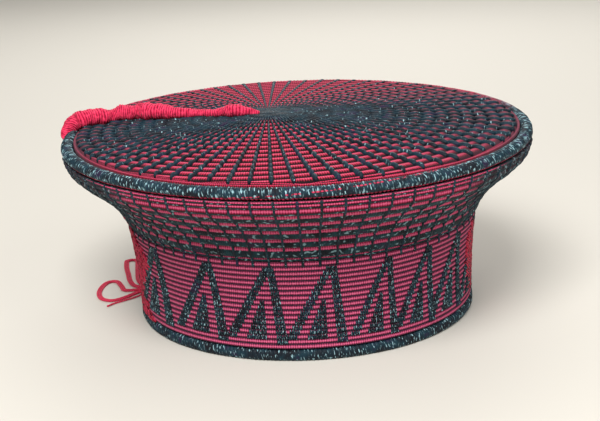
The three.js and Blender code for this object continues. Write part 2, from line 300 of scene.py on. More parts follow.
# ---------------------------------------------------------------------------
# Base binding: the lowest coil, whipped over and over with black yarn that has
# a green-blue cast, its turns close together and leaning with the stitch.
# ---------------------------------------------------------------------------
RIM_HEIGHT = 114.6
OVAL = 0.012  # share by which the rim is narrower from left to right and deeper from front to back
WALL = 4.0
BINDING_WRAPS = 270
BINDING_SECTION = [  # out from the band's foot, up; closed
    (-4.6, 0.15), (-2.6, 0), (-0.6, 0.1), (0.7, 0.8), (1.2, 2.1), (1.25, 3.6), (1.1, 5.2),
    (0.3, 6.5), (-1.4, 7.0), (-3.0, 7.0), (-4.3, 6.2), (-4.7, 4.4), (-4.75, 2.4), (-4.6, 0.15),
]


def hat_place(radius, angle, height):
    """Places on rings of the leaning, slightly oval hat, in metres; sizes in millimetres."""
    lean = (np.maximum(height, 0) / RIM_HEIGHT) ** 1.5
    x = BASE_OFF[0] * (1 - lean) + radius * (1 - OVAL * lean) * np.cos(angle)
    y = BASE_OFF[1] * (1 - lean) + radius * (1 + OVAL * lean) * np.sin(angle)
    return np.column_stack([x + SHIFT_X, y, height + 0 * x]) * MM


def whipped_ring(name, section, radius, base, wraps, depth, slant, material):
    """A coil of closed section round the hat, each turn of the whipping a raised ridge."""
    section = np.array(section, float)
    per_wrap = 4
    across = wraps * per_wrap
    bm, i, j = wrapped_grid(across, len(section) - 1)
    angle = i * 2 * math.pi / across
    middle = section.mean(axis=0)
    spread = section - middle
    outward = spread / np.linalg.norm(spread, axis=1)[:, None]
    phase = i / per_wrap + slant * j / (len(section) - 1)
    ridge = np.abs(np.sin(math.pi * phase))
    lump = 0.25 * np.sin(angle * 23 + 1.0) + 0.2 * np.sin(angle * 57 + 0.4)
    puff = (ridge - 1) * depth + lump * depth * 0.5
    stands_on = base + section[j, 1] < 0.3  # the underside of the base stays flat
    puff = np.where(stands_on, 0, puff)
    r = radius + section[j, 0] + outward[j, 0] * puff
    z = base + section[j, 1] + outward[j, 1] * puff
    close_up(bm, hat_place(r, angle, z), phase, j * 1.0)
    piece = finished(name, bm, [material])
    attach(piece, "root")
    return piece


def black_yarn(name, glints, along):
    """Black yarn with a teal cast, a little glossy. Each turn shades into the next, and painted
    highlights stand for loose fibres catching the light, in short pale streaks along the turns;
    glints says how many, and along how often they break off. A streak is drawn about 1 mm wide,
    coarser than a fibre, so that it shows. The cast drifts from blue-black to violet in patches
    of about 9 mm."""
    material, shader = new_material(name, 0.62, 0.0, 0.25)
    uv = add(material, "ShaderNodeUVMap", uv_map="turns")
    parts = add(material, "ShaderNodeSeparateXYZ", {0: uv.outputs["UV"]})
    crest = turn_crest(material, parts.outputs["X"])
    place = add(material, "ShaderNodeTexCoord")
    fuzz = add(
        material, "ShaderNodeTexNoise",
        {"Vector": place.outputs["Object"], "Scale": 900.0, "Detail": 2.0},
    )
    patches = add(
        material, "ShaderNodeTexNoise",
        {"Vector": place.outputs["Object"], "Scale": 110.0, "Detail": 3.0},
    )
    hue = add(
        material, "ShaderNodeValToRGB", {"Fac": patches.outputs["Fac"]},
        stops=[(0.32, "#0B0E18"), (0.46, "#0D1E29"), (0.58, "#0E303C"), (0.68, "#221836")],
    )
    fibres = add(
        material, "ShaderNodeMapping", {"Vector": uv.outputs["UV"], "Scale": (2.6, along, 1.0)}
    )
    spark = add(
        material, "ShaderNodeTexNoise", {"Vector": fibres.outputs[0], "Scale": 1.0, "Detail": 1.0}
    )
    lit = add(
        material, "ShaderNodeMapRange",
        {"Value": spark.outputs["Fac"], "From Min": 0.68 - glints, "From Max": 0.76 - glints},
    )
    held = add(material, "ShaderNodeMath", {0: lit.outputs["Result"], 1: crest}, operation="MULTIPLY")
    # Painted highlights: pale glint streaks mixed into the colour on the turns' crests
    colour = add(
        material, "ShaderNodeMix",
        {"Factor": held.outputs[0], "A": hue.outputs["Color"], "B": linear("#9CC4CC")},
        data_type="RGBA",
    )
    height = add(
        material, "ShaderNodeMath", {0: fuzz.outputs["Fac"], 1: 0.6, 2: crest}, operation="MULTIPLY_ADD"
    )
    link_up(material, shader, colour.outputs["Result"], height.outputs[0], 0.3)
    return material


# Whipped turn by turn: reads as dark leaning ridges with pale glints on them
whipping = black_yarn("black_acrylic_yarn_whipping", 0.09, 0.5)
base_binding = whipped_ring(
    "base_binding_whipping", BINDING_SECTION, BASE_RADIUS, 0.0, BINDING_WRAPS, 0.45, 0.9, whipping
)
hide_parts("base_binding")

# ---------------------------------------------------------------------------
# Side band: eighteen thin coils wound in red yarn, nearly upright, with a
# zigzag of black stitches laid over them in steps, one step to a coil.
# ---------------------------------------------------------------------------
BAND_COILS = 18
BAND_BOTTOM, BAND_TOP = 7.3, 63.0
BAND_WIDENS = 4.7  # in radius, from bottom to top, mostly near the top
COIL_PHASES = np.array([0.0, 0.07, 0.22, 0.4, 0.6, 0.78, 0.93])  # shares of a coil's width
COIL_HOLLOW = 0.6  # by which the wall is thinner between the coils' crests
COIL_STEEP = 0.33  # a coil's ridge is no higher than this share of its width


def band_radius(height):
    """Outside radius of the upright band by height."""
    share = (np.asarray(height) - BAND_BOTTOM) / (BAND_TOP - BAND_BOTTOM)
    widening = np.interp(share, [0, 0.25, 0.5, 0.75, 1], [0, 0.02, 0.17, 0.47, 1])
    return BASE_RADIUS + BAND_WIDENS * widening


def coil_swell(phase):
    """Height of a round coil across its width, from 0 in the valley to 1 on the crest."""
    return np.sqrt(np.clip(1 - (2 * phase - 1) ** 2, 0, 1))


def wound_yarn(name, crest, body, valley, middle, half, wraps_first, wraps_step, side_shade, side_shade_grey):
    """Yarn wound closely round a coil, its turns at their real 1.4 mm, with a painted highlight on
    each turn and painted shade between them: wraps_first turns in the first round and wraps_step
    more in each after it. The colour has a painted highlight about the share `middle` of the
    coil's width, within the share `half`, and painted shade deep in the valleys. Towards the hat's
    left and right it is darker by side_shade and greyed by the share side_shade_grey, painted
    shade as it looks from the front; it is laid in the yarn's colour, so it shows from all sides."""
    material, shader = new_material(name, 0.82, 0.04, 0.2)
    uv = add(material, "ShaderNodeUVMap", uv_map="turns")
    parts = add(material, "ShaderNodeSeparateXYZ", {0: uv.outputs["UV"]})
    coil = add(material, "ShaderNodeMath", {0: parts.outputs["Y"]}, operation="FLOOR")
    phase = add(material, "ShaderNodeMath", {0: parts.outputs["Y"]}, operation="FRACT")
    wraps = add(
        material, "ShaderNodeMath",
        {0: coil.outputs[0], 1: wraps_step, 2: wraps_first}, operation="MULTIPLY_ADD",
    )
    whole = add(material, "ShaderNodeMath", {0: wraps.outputs[0]}, operation="ROUND")
    count = add(
        material, "ShaderNodeMath", {0: whole.outputs[0], 1: parts.outputs["X"]}, operation="MULTIPLY"
    )
    thread = turn_crest(material, count.outputs[0])
    place = add(material, "ShaderNodeTexCoord")
    fuzz = add(
        material, "ShaderNodeTexNoise",
        {"Vector": place.outputs["Object"], "Scale": 900.0, "Detail": 3.0},
    )

    # Depth of painted shade: low on the coil's crest, where the highlight is painted, high in its
    # valley, between two turns and at the hat's sides
    off = add(material, "ShaderNodeMath", {0: phase.outputs[0], 1: -middle}, operation="ADD")
    far = add(material, "ShaderNodeMath", {0: off.outputs[0]}, operation="ABSOLUTE")
    turn_shade = add(
        material, "ShaderNodeMath", {0: thread, 1: -0.4, 2: 0.16 + side_shade}, operation="MULTIPLY_ADD"
    )
    ragged = add(
        material, "ShaderNodeMath",
        {0: fuzz.outputs["Fac"], 1: 0.6, 2: turn_shade.outputs[0]}, operation="MULTIPLY_ADD",
    )
    round_hat = add(
        material, "ShaderNodeMath", {0: parts.outputs["X"], 1: 2 * math.pi}, operation="MULTIPLY"
    )
    depth_wise = add(material, "ShaderNodeMath", {0: round_hat.outputs[0]}, operation="SINE")
    frontal = add(material, "ShaderNodeMath", {0: depth_wise.outputs[0]}, operation="ABSOLUTE")
    sunk = add(
        material, "ShaderNodeMath",
        {0: frontal.outputs[0], 1: -side_shade, 2: ragged.outputs[0]}, operation="MULTIPLY_ADD",
    )
    depth = add(
        material, "ShaderNodeMath",
        {0: far.outputs[0], 1: 1.0 / half, 2: sunk.outputs[0]}, operation="MULTIPLY_ADD",
    )
    # Painted highlight on the coil's crest, body red between, painted shade in the valley
    red = add(
        material, "ShaderNodeValToRGB", {"Fac": depth.outputs[0]},
        stops=[(0.25, crest), (0.62, body), (1.0, valley)],
    )
    # Painted shade: the red is greyed towards the hat's left and right
    greyed = add(
        material, "ShaderNodeMapRange",
        {"Value": frontal.outputs[0], "From Min": 0.95, "From Max": 0.35, "To Max": side_shade_grey},
    )
    colour = add(
        material, "ShaderNodeMix",
        {"Factor": greyed.outputs["Result"], "A": red.outputs["Color"], "B": linear("#562A3A")},
        data_type="RGBA",
    )
    height = add(
        material, "ShaderNodeMath", {0: fuzz.outputs["Fac"], 1: 0.5, 2: thread}, operation="MULTIPLY_ADD"
    )
    link_up(material, shader, colour.outputs["Result"], height.outputs[0], 0.3)
    return material


def coiled_wall(name, outer, inner, across, material):
    """A wall of coils round the hat, from its outer and inner faces as (radius, height, coil)."""
    profile = np.array([*outer, *inner, outer[0]], float)
    profile[-1, 2] = inner[-1][2]
    bm, i, j = wrapped_grid(across, len(profile) - 1)
    angle = i * 2 * math.pi / across
    places = hat_place(profile[j, 0], angle, profile[j, 1])
    close_up(bm, places, i / across, profile[j, 2])
    piece = finished(name, bm, [material])
    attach(piece, "root")
    return piece


def coils_of(line, swell, spread):
    """Coil ridges along a profile line of (radius, height) points, one coil to each step. A ridge
    is swell high, and the share `spread` of that lies under the line."""
    points = []
    for k in range(len(line) - 1):
        (r0, z0), (r1, z1) = line[k], line[k + 1]
        long = math.hypot(r1 - r0, z1 - z0)
        side = ((z1 - z0) / long, -(r1 - r0) / long)
        for phase in COIL_PHASES:
            rise = min(swell, long * COIL_STEEP) * (coil_swell(phase) - spread)
            points.append((
                r0 + (r1 - r0) * phase + side[0] * rise,
                z0 + (z1 - z0) * phase + side[1] * rise,
                k + min(max(phase, 0.01), 0.99),
            ))
    return points


heights = np.linspace(BAND_BOTTOM, BAND_TOP, BAND_COILS + 1)
outer_line = [(float(band_radius(z)), float(z)) for z in heights]
inner_line = [(r - WALL + COIL_HOLLOW, z) for r, z in outer_line][::-1]
# Thin coils: level pink-red lines with a painted highlight, nearly as wide as the dark ones between
# them, painted shade in the valleys
band_yarn = wound_yarn(
    "red_acrylic_yarn_thin_coils", "#D8648A", "#942C4E", "#3A2236", 0.58, 0.46, 480, 1.2, 0.12, 0.0
)
side_band = coiled_wall(
    "side_band_coils", coils_of(outer_line, 1.0, 0.7), coils_of(inner_line, -0.9, 0.4), 240,
    band_yarn,
)
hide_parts("side_band")

# Black zigzag: where the peaks of the drawn triangles stand, in degrees round the hat
ZIGZAG_PEAKS = [-146.0, -121.4, -101.3, -82.2, -63.9, -48.2, -31.9]
ZIGZAG_HIDDEN = 12  # peaks on the far side, evenly spread between the last and the first
STITCH_WIDE = 1.25
STITCH_HALF = (1.62, 0.75)  # half a stitch's length, a little more than half a coil, and its height
STITCH_PROUD = 0.35  # its middle over the band
# By coil, counted down from the band's top: how far each line of the triangle stands from its
# peak, and half its width, all as shares of the way to the next peak
ZIGZAG_LINES = [
    {"first": 1, "last": 15, "start": -0.02, "end": -0.72, "wide_start": 0.07, "wide_end": 0.095},
    {"first": 1, "last": 16, "start": 0.04, "end": 0.15, "wide_start": 0.06, "wide_end": 0.095},
    {"first": 8, "last": 15, "start": -0.15, "end": -0.28, "wide_start": 0.04, "wide_end": 0.175},
]


def stitch_pattern():
    """One stitch of unit size: a small rounded loaf, long way along X."""
    bm = bmesh.new()
    bmesh.ops.create_uvsphere(bm, u_segments=6, v_segments=5, radius=1.0)
    bmesh.ops.rotate(bm, verts=bm.verts, matrix=Matrix.Rotation(math.radians(90), 3, "Y"))
    mesh = bpy.data.meshes.new("stitch_pattern")
    bm.to_mesh(mesh)
    bm.free()
    points = np.array([v.co for v in mesh.vertices])
    faces = [list(p.vertices) for p in mesh.polygons]
    bpy.data.meshes.remove(mesh)
    return points, faces


def laid_stitches(name, stitches, material):
    """All the stitches of one kind joined in one piece; a stitch is its middle, its directions
    along, across and out, and its half sizes, in metres."""
    points, faces = stitch_pattern()
    all_points, all_faces, turns = [], [], []
    for n, (middle, along, across, out, sizes) in enumerate(stitches):
        axes = np.array([along * sizes[0], across * sizes[1], out * sizes[2]])
        all_points.append(middle + points @ axes)
        turns.append(points[:, [1, 0]] * [0.45, 0.7] + [n * 0.63 + 0.5, n * 3.1])
        all_faces += [[v + n * len(points) for v in face] for face in faces]
    mesh = bpy.data.meshes.new(name)
    mesh.from_pydata(np.concatenate(all_points).tolist(), [], all_faces)
    bm = bmesh.new()
    bm.from_mesh(mesh)
    bpy.data.meshes.remove(mesh)
    bmesh.ops.recalc_face_normals(bm, faces=bm.faces)
    layer = bm.loops.layers.uv.new("turns")
    turns = np.concatenate(turns)
    for face in bm.faces:
        for loop in face.loops:
            loop[layer].uv = turns[loop.vert.index]
    piece = finished(name, bm, [material])
    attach(piece, "root")
    return piece


def unit(vectors):
    """The vectors at length 1."""
    return vectors / np.linalg.norm(vectors, axis=-1, keepdims=True)


last_to_first = (ZIGZAG_PEAKS[0] + 360 - ZIGZAG_PEAKS[-1]) / (ZIGZAG_HIDDEN + 1)
peaks = ZIGZAG_PEAKS + [ZIGZAG_PEAKS[-1] + last_to_first * (n + 1) for n in range(ZIGZAG_HIDDEN)]
rng = np.random.default_rng(7)
zigzag = []
for n, peak in enumerate(peaks):
    step = (peaks + [peaks[0] + 360])[n + 1] - peak
    for line in ZIGZAG_LINES:
        for coil in range(line["first"], line["last"] + 1):
            share = (coil - line["first"]) / (line["last"] - line["first"])
            middle = line["start"] + share * (line["end"] - line["start"])
            half = line["wide_start"] + share * (line["wide_end"] - line["wide_start"])
            height = BAND_TOP - (coil + 0.5) * (BAND_TOP - BAND_BOTTOM) / BAND_COILS
            radius = float(band_radius(height))
            wide = 2 * half * math.radians(step) * radius
            count = max(2, round(wide / STITCH_WIDE))
            for k in range(count):
                angle = math.radians(peak + middle * step) + ((k + 0.5) / count - 0.5) * wide / radius
                around = hat_place(
                    radius + STITCH_PROUD, np.array([angle, angle + 0.01]), np.array([height, height])
                )
                across = unit(around[1] - around[0])
                out = np.array([across[1], -across[0], 0.0])
                tilt = rng.uniform(-0.12, 0.12)
                along = unit(np.array([0, 0, 1.0]) + across * tilt)
                half_wide = wide / count * 0.52 * MM  # a touch over the half, so that none gapes
                sizes = (STITCH_HALF[0] * MM, half_wide, STITCH_HALF[1] * MM)
                zigzag.append((around[0], along, across, out, sizes))
# Upright stitches, packed close: black with more painted glints, pale streaks, than the whipping
zigzag_yarn = black_yarn("black_acrylic_yarn_stitches", 0.105, 1.2)
laid_stitches("band_zigzag_stitches", zigzag, zigzag_yarn)

# ---------------------------------------------------------------------------
# Side flare: nine coils that open out under the rim, over-wound in black so
# that red shows only in a narrow line between them, and crossed by the ribs.
# ---------------------------------------------------------------------------
FLARE_COILS = 9
FLARE_LINE = [  # outside radius and height at each valley between coils, from the band up
    (110.6, 63.3), (111.3, 65.4), (115.2, 72.9), (119.2, 79.3), (125.5, 86.3), (133.8, 93.2),
    (143.2, 100.3), (147.2, 105.2), (148.4, 108.1), (149.0, 110.2),
]
FLARE_SWELL = 2.2
FLARE_BLACK = 0.8  # the share of a coil's width, from below, that is over-wound in black
FLARE_BLACK_UPPER = 0.496  # the same on the coils from FLARE_UPPER up
FLARE_UPPER = 6
RIB_COUNT = 75
RIB_WIDE = 2.3
RIB_FOOT = BAND_TOP - 3.1  # one coil down the band
RIB_FIRST = math.radians(-88.9)
RIB_CENTRE = (-17.6, 4.0)
RIM_RADIUS = 150.0


def rib_reach(direction, radius):
    """From the ribs' centre to an oval about the rim's axis, in each direction."""
    wide, deep = radius * (1 - OVAL), radius * (1 + OVAL)
    c, s = np.cos(direction), np.sin(direction)
    a = (c / wide) ** 2 + (s / deep) ** 2
    b = 2 * (RIB_CENTRE[0] * c / wide**2 + RIB_CENTRE[1] * s / deep**2)
    k = (RIB_CENTRE[0] / wide) ** 2 + (RIB_CENTRE[1] / deep) ** 2 - 1
    return (-b + np.sqrt(b * b - 4 * a * k)) / (2 * a)


rib_directions = RIB_FIRST + np.arange(RIB_COUNT) * 2 * math.pi / RIB_COUNT
reach = rib_reach(rib_directions, RIM_RADIUS)
rib_angles = np.arctan2(
    (RIB_CENTRE[1] + reach * np.sin(rib_directions)) / (1 + OVAL),
    (RIB_CENTRE[0] + reach * np.cos(rib_directions)) / (1 - OVAL),
)
flare_inner = []
for k, (radius, height) in enumerate(FLARE_LINE):
    before, after = FLARE_LINE[max(k - 1, 0)], FLARE_LINE[min(k + 1, FLARE_COILS)]
    slope = 0.0 if k in (0, FLARE_COILS) else math.atan2(after[0] - before[0], after[1] - before[1])
    set_back = WALL - COIL_HOLLOW
    flare_inner.append((radius - set_back * math.cos(slope), height + set_back * math.sin(slope)))
# Thin red lines broken by the ribs, on black with painted glints; towards the hat's left and
# right the black is laid over the red as painted shade
flare_yarn = wound_yarn(
    "red_and_black_acrylic_yarn_coils", "#D6587E", "#981C42", "#3A0A1A", 0.86, 0.3, 500, 19, 0.1, 0.0
)
shader = flare_yarn.node_tree.nodes["Principled BSDF"]
red = shader.inputs["Base Color"].links[0].from_socket
uv = add(flare_yarn, "ShaderNodeUVMap", uv_map="turns")
parts = add(flare_yarn, "ShaderNodeSeparateXYZ", {0: uv.outputs["UV"]})
coil = add(flare_yarn, "ShaderNodeMath", {0: parts.outputs["Y"]}, operation="FLOOR")
phase = add(flare_yarn, "ShaderNodeMath", {0: parts.outputs["Y"]}, operation="FRACT")
place = add(flare_yarn, "ShaderNodeTexCoord")
fuzz = add(
    flare_yarn, "ShaderNodeTexNoise",
    {"Vector": place.outputs["Object"], "Scale": 900.0, "Detail": 3.0},
)
upper = add(
    flare_yarn, "ShaderNodeMath", {0: coil.outputs[0], 1: FLARE_UPPER - 0.5}, operation="GREATER_THAN"
)
share = add(
    flare_yarn, "ShaderNodeMath",
    {0: upper.outputs[0], 1: FLARE_BLACK_UPPER - FLARE_BLACK, 2: FLARE_BLACK},
    operation="MULTIPLY_ADD",
)
above = add(
    flare_yarn, "ShaderNodeMath", {0: phase.outputs[0], 1: share.outputs[0]}, operation="SUBTRACT"
)
edge = add(
    flare_yarn, "ShaderNodeMath",
    {0: fuzz.outputs["Fac"], 1: 0.12, 2: above.outputs[0]}, operation="MULTIPLY_ADD",
)
bare = add(
    flare_yarn, "ShaderNodeMapRange", {"Value": edge.outputs[0], "From Min": 0.04, "From Max": 0.09}
)
# Painted shade: towards the left and right the black closes over the red; the red goes on to 94 to 109
# mm from the middle, and 15 mm more on the top coil
top_coil = add(
    flare_yarn, "ShaderNodeMath", {0: coil.outputs[0], 1: FLARE_COILS - 1.5}, operation="GREATER_THAN"
)
axes = add(flare_yarn, "ShaderNodeSeparateXYZ", {0: place.outputs["Object"]})
sideways = add(flare_yarn, "ShaderNodeMath", {0: axes.outputs["X"]}, operation="ABSOLUTE")
gone = add(
    flare_yarn, "ShaderNodeMath",
    {0: top_coil.outputs[0], 1: -15 * MM, 2: sideways.outputs[0]}, operation="MULTIPLY_ADD",
)
red_clear_of_side_shade = add(
    flare_yarn, "ShaderNodeMapRange",
    {"Value": gone.outputs[0], "From Min": 109 * MM, "From Max": 94 * MM, "To Min": 0.06},
)
bare_red = add(
    flare_yarn, "ShaderNodeMath",
    {0: bare.outputs["Result"], 1: red_clear_of_side_shade.outputs["Result"]}, operation="MULTIPLY",
)
# Black with a drifting cast, in patches of about 11 mm, and painted glints, pale flecks about 2 mm
# wide, coarser than the real ones so that they show
patches = add(
    flare_yarn, "ShaderNodeTexNoise",
    {"Vector": place.outputs["Object"], "Scale": 90.0, "Detail": 2.0},
)
black = add(
    flare_yarn, "ShaderNodeValToRGB", {"Fac": patches.outputs["Fac"]},
    stops=[(0.32, "#0B0F16"), (0.46, "#0E2028"), (0.58, "#10363C"), (0.68, "#261A30")],
)
glint_specks = add(
    flare_yarn, "ShaderNodeTexNoise",
    {"Vector": place.outputs["Object"], "Scale": 480.0, "Detail": 0.0},
)
pale = add(
    flare_yarn, "ShaderNodeMapRange",
    {"Value": glint_specks.outputs["Fac"], "From Min": 0.63, "From Max": 0.76, "To Max": 0.7},
)
flecked = add(
    flare_yarn, "ShaderNodeMix",
    {"Factor": pale.outputs["Result"], "A": black.outputs["Color"], "B": linear("#86A8B0")},
    data_type="RGBA",
)
colour = add(
    flare_yarn, "ShaderNodeMix",
    {"Factor": bare_red.outputs[0], "A": flecked.outputs["Result"], "B": red}, data_type="RGBA",
)
flare_yarn.node_tree.links.new(colour.outputs["Result"], shader.inputs["Base Color"])
side_flare = coiled_wall(
    "side_flare_coils", coils_of(FLARE_LINE, FLARE_SWELL, 0.4),
    coils_of(flare_inner[::-1], -1.0, 0.4), 300, flare_yarn,
)
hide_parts("side_flare")

# Long stitches laid over the coils: smooth dark bars with few painted glints, pale streaks
rib_yarn = black_yarn("black_acrylic_yarn_rib_stitches", 0.03, 5.0)
flare_ribs = []
rib_line = [(float(band_radius(RIB_FOOT)), RIB_FOOT), *FLARE_LINE]
for (r0, z0), (r1, z1) in zip(rib_line, rib_line[1:]):
    long = math.hypot(r1 - r0, z1 - z0)
    stand = 0.6 * min(FLARE_SWELL, long * COIL_STEEP) + 0.45  # over the coil's crest
    for angle in rib_angles:
        ends = hat_place(np.array([r0, r1]), np.array([angle, angle]), np.array([z0, z1]))
        side = hat_place(np.array([r0, r0]), np.array([angle, angle + 0.01]), np.array([z0, z0]))
        along, across = unit(ends[1] - ends[0]), unit(side[1] - side[0])
        out = unit(np.cross(across, along))
        middle = ends.mean(axis=0) + out * 0.2 * MM
        sizes = (long * 0.62 * MM, RIB_WIDE / 2 * MM, stand * MM)
        flare_ribs.append((middle, along, across, out, sizes))
laid_stitches("flare_rib_stitches", flare_ribs, rib_yarn)

# ---------------------------------------------------------------------------
# Side seams: bright red yarn darned slantwise over the coils in a lumpy strip,
# down the left side and, narrower and flatter, down the right.
# ---------------------------------------------------------------------------
SIDE_SEAMS = [  # height, where the strip starts and ends in degrees round the hat, stand-out
    [(8, 187, 205, 1.3), (20, 188, 197, 1.1), (34, 187, 200, 1.4), (46, 185, 207, 1.7),
     (58, 186, 199, 1.3), (72, 188, 193, 1.0)],
    [(14, -17, -9, 0.7), (30, -21, -7, 1.0), (50, -22, -6, 0.9), (60, -17, -9, 0.7)],
]
DARN_STEP = 2.2  # from row to row and from stitch to stitch
DARN_WIDE = 1.8
flare_radii, flare_heights = np.array(FLARE_LINE).T
rng = np.random.default_rng(11)
darns = []
for seam in SIDE_SEAMS:
    levels, starts, ends, stands = np.array(seam, float).T
    for height in np.arange(levels[0], levels[-1], DARN_STEP):
        if height < BAND_TOP:
            radius = float(band_radius(height))
        else:
            radius = float(np.interp(height, flare_heights, flare_radii) + 0.4)
        start = np.interp(height, levels, starts) + rng.normal(0, 0.8)
        end = np.interp(height, levels, ends) + rng.normal(0, 1.1)
        steps = max(2, round(math.radians(end - start) * radius / DARN_STEP))
        for share in (np.arange(steps) + rng.uniform(0, 1)) / steps:
            angle = math.radians(start + share * (end - start))
            places = hat_place(
                radius + 0.3, np.array([angle, angle + 0.01]), np.array([height, height])
            )
            across = unit(places[1] - places[0])
            out = np.array([across[1], -across[0], 0.0])
            along = unit(across - rng.uniform(0.5, 1.0) * np.array([0, 0, 1.0]))
            stand = np.interp(height, levels, stands) * rng.uniform(0.7, 1.2)
            sizes = (rng.uniform(2.1, 3.3) * MM, DARN_WIDE / 2 * MM, stand * MM)
            darns.append((places[0], along, np.cross(out, along), out, sizes))
# Slanting stitches: a rough matt red, with a painted highlight on each stitch's back
darn_yarn = plain_yarn("bright_red_acrylic_yarn_darning", "#CC3252", "#981830", "#3E0814", 1.0, 1.0)
laid_stitches("side_seam_darning", darns, darn_yarn)

# ---------------------------------------------------------------------------
# Rim: one thick coil round the edge of the disc, whipped in the same black yarn
# as the base, a little flat on top. Red shows in a row of dots that crosses it
# at the front and along its lower edge, and behind the hat the whipping is red.
# ---------------------------------------------------------------------------
RIM_ROLL = 4.0
RIM_FLATTER = 0.35  # the whipping's top is pulled down by twice this
RIM_WRAPS = 380
DOTS_ON = (0.744, 3.6)  # where the row of dots runs: share of the round, step of the section
DOTS_SLANT = 36  # steps that it climbs in a whole round
rim_section = [
    (-RIM_ROLL + RIM_ROLL * math.cos(a), (RIM_ROLL - RIM_FLATTER) * math.sin(a) - RIM_FLATTER)
    for a in np.linspace(-math.pi / 2, math.pi * 1.5, 15)
]
# Whipped turn by turn like the base, with a little more painted glint, pale, on its ridges
rim_yarn = black_yarn("black_and_red_acrylic_yarn_whipping", 0.115, 0.5)
shader = rim_yarn.node_tree.nodes["Principled BSDF"]
black = shader.inputs["Base Color"].links[0].from_socket
uv = add(rim_yarn, "ShaderNodeUVMap", uv_map="turns")
parts = add(rim_yarn, "ShaderNodeSeparateXYZ", {0: uv.outputs["UV"]})
row = add(
    rim_yarn, "ShaderNodeMath",
    {0: parts.outputs["X"], 1: -DOTS_SLANT / RIM_WRAPS, 2: DOTS_SLANT * DOTS_ON[0] - DOTS_ON[1]},
    operation="MULTIPLY_ADD",
)
off = add(rim_yarn, "ShaderNodeMath", {0: row.outputs[0], 1: parts.outputs["Y"]}, operation="ADD")
far = add(rim_yarn, "ShaderNodeMath", {0: off.outputs[0]}, operation="ABSOLUTE")
on_row = add(
    rim_yarn, "ShaderNodeMapRange", {"Value": far.outputs[0], "From Min": 0.36, "From Max": 0.16}
)
# The red row on the lower edge, a step and a half of the section from its foot
low = add(rim_yarn, "ShaderNodeMath", {0: parts.outputs["Y"], 1: -1.55}, operation="ADD")
low_far = add(rim_yarn, "ShaderNodeMath", {0: low.outputs[0]}, operation="ABSOLUTE")
on_edge = add(
    rim_yarn, "ShaderNodeMapRange", {"Value": low_far.outputs[0], "From Min": 0.6, "From Max": 0.35}
)
# The dots: gaps about 2 mm wide in the black, where the red under it shows
place = add(rim_yarn, "ShaderNodeTexCoord")
gaps = add(
    rim_yarn, "ShaderNodeTexNoise", {"Vector": place.outputs["Object"], "Scale": 420.0, "Detail": 0.0}
)
showing = add(rim_yarn, "ShaderNodeMath", {0: gaps.outputs["Fac"], 1: 0.48}, operation="GREATER_THAN")
dots = add(
    rim_yarn, "ShaderNodeMath", {0: on_row.outputs[0], 1: showing.outputs[0]}, operation="MULTIPLY"
)
rows = add(rim_yarn, "ShaderNodeMath", {0: dots.outputs[0], 1: on_edge.outputs[0]}, operation="MAXIMUM")
axes = add(rim_yarn, "ShaderNodeSeparateXYZ", {0: place.outputs["Object"]})
behind = add(
    rim_yarn, "ShaderNodeMapRange",
    {"Value": axes.outputs["Y"], "From Min": 24 * MM, "From Max": 84 * MM},
)
red = add(rim_yarn, "ShaderNodeMath", {0: rows.outputs[0], 1: behind.outputs[0]}, operation="MAXIMUM")
# Painted highlight: the red whipping is lighter on each turn's crest, in random patches
crest = turn_crest(rim_yarn, parts.outputs["X"])
lit = add(rim_yarn, "ShaderNodeMath", {0: gaps.outputs["Fac"], 1: crest}, operation="MULTIPLY")
crimson = add(
    rim_yarn, "ShaderNodeValToRGB", {"Fac": lit.outputs[0]},
    stops=[(0.05, "#3C0814"), (0.3, "#8E1834"), (0.5, "#C8365A")],
)
colour = add(
    rim_yarn, "ShaderNodeMix",
    {"Factor": red.outputs[0], "A": black, "B": crimson.outputs["Color"]}, data_type="RGBA",
)
rim_yarn.node_tree.links.new(colour.outputs["Result"], shader.inputs["Base Color"])
rim_roll = whipped_ring(
    "rim_whipping", rim_section, RIM_RADIUS, RIM_HEIGHT, RIM_WRAPS, 0.5, 1.2, rim_yarn
)
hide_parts("rim_roll")

# ---------------------------------------------------------------------------
# Top disc: coils of red-wound cord laid round a centre left of the middle, cut
# off by a last, thinner coil along the rim, and each tied down by rows of black
# stitches that make the ribs.
# ---------------------------------------------------------------------------
DISC_PITCH = 8.15
DISC_EDGE = 141.9
DISC_COILS = 20
DISC_SWELL = 2.3
DISC_BORDER = 2.4  # width of the last coil
DISC_LOW = 118.4  # height at the edge, a little under the coils' crests
DISC_CROWN = 7.3  # by which the ribs' centre stands higher
DISC_BEND = 1.15  # 1 would be a straight cone
RIB_STITCH = 10.4  # a stitch spans one coil and reaches under its neighbours' stitches


def disc_top(share):
    """Height of the disc by the share of the way from the ribs' centre to its edge."""
    return DISC_LOW + DISC_CROWN * (1 - np.minimum(share, 1) ** DISC_BEND)


# Rings of the section, from the centre out over the coils and the last coil, and back underneath
disc_across = 240
crests = [(k + COIL_PHASES) * DISC_PITCH for k in range(DISC_COILS)]
upper = np.concatenate([*crests, [DISC_COILS * DISC_PITCH]])
border = np.array([0, 0.07, 0.2, 0.4, 0.6, 0.76])
under = np.arange(DISC_COILS * 4, -1, -1) * DISC_PITCH / 4
rings = np.concatenate([upper, border, under])
part = np.repeat([0, 1, 2], [len(upper), len(border), len(under)])
bm, i, j = wrapped_grid(disc_across, len(rings) - 1)
on_border, is_under = part[j] == 1, part[j] == 2
direction = i * 2 * math.pi / disc_across
edge = rib_reach(direction, DISC_EDGE)
distance = np.minimum(rings[j], np.where(is_under, edge, edge - DISC_BORDER))
distance = np.where(on_border, edge - DISC_BORDER * (1 - rings[j] / border[-1]), distance)
swell = coil_swell((distance / DISC_PITCH) % 1.0)
crown = disc_top(distance / edge)
height = np.where(is_under, crown - 3.6 - 0.9 * swell, crown + DISC_SWELL * (swell - 0.75))
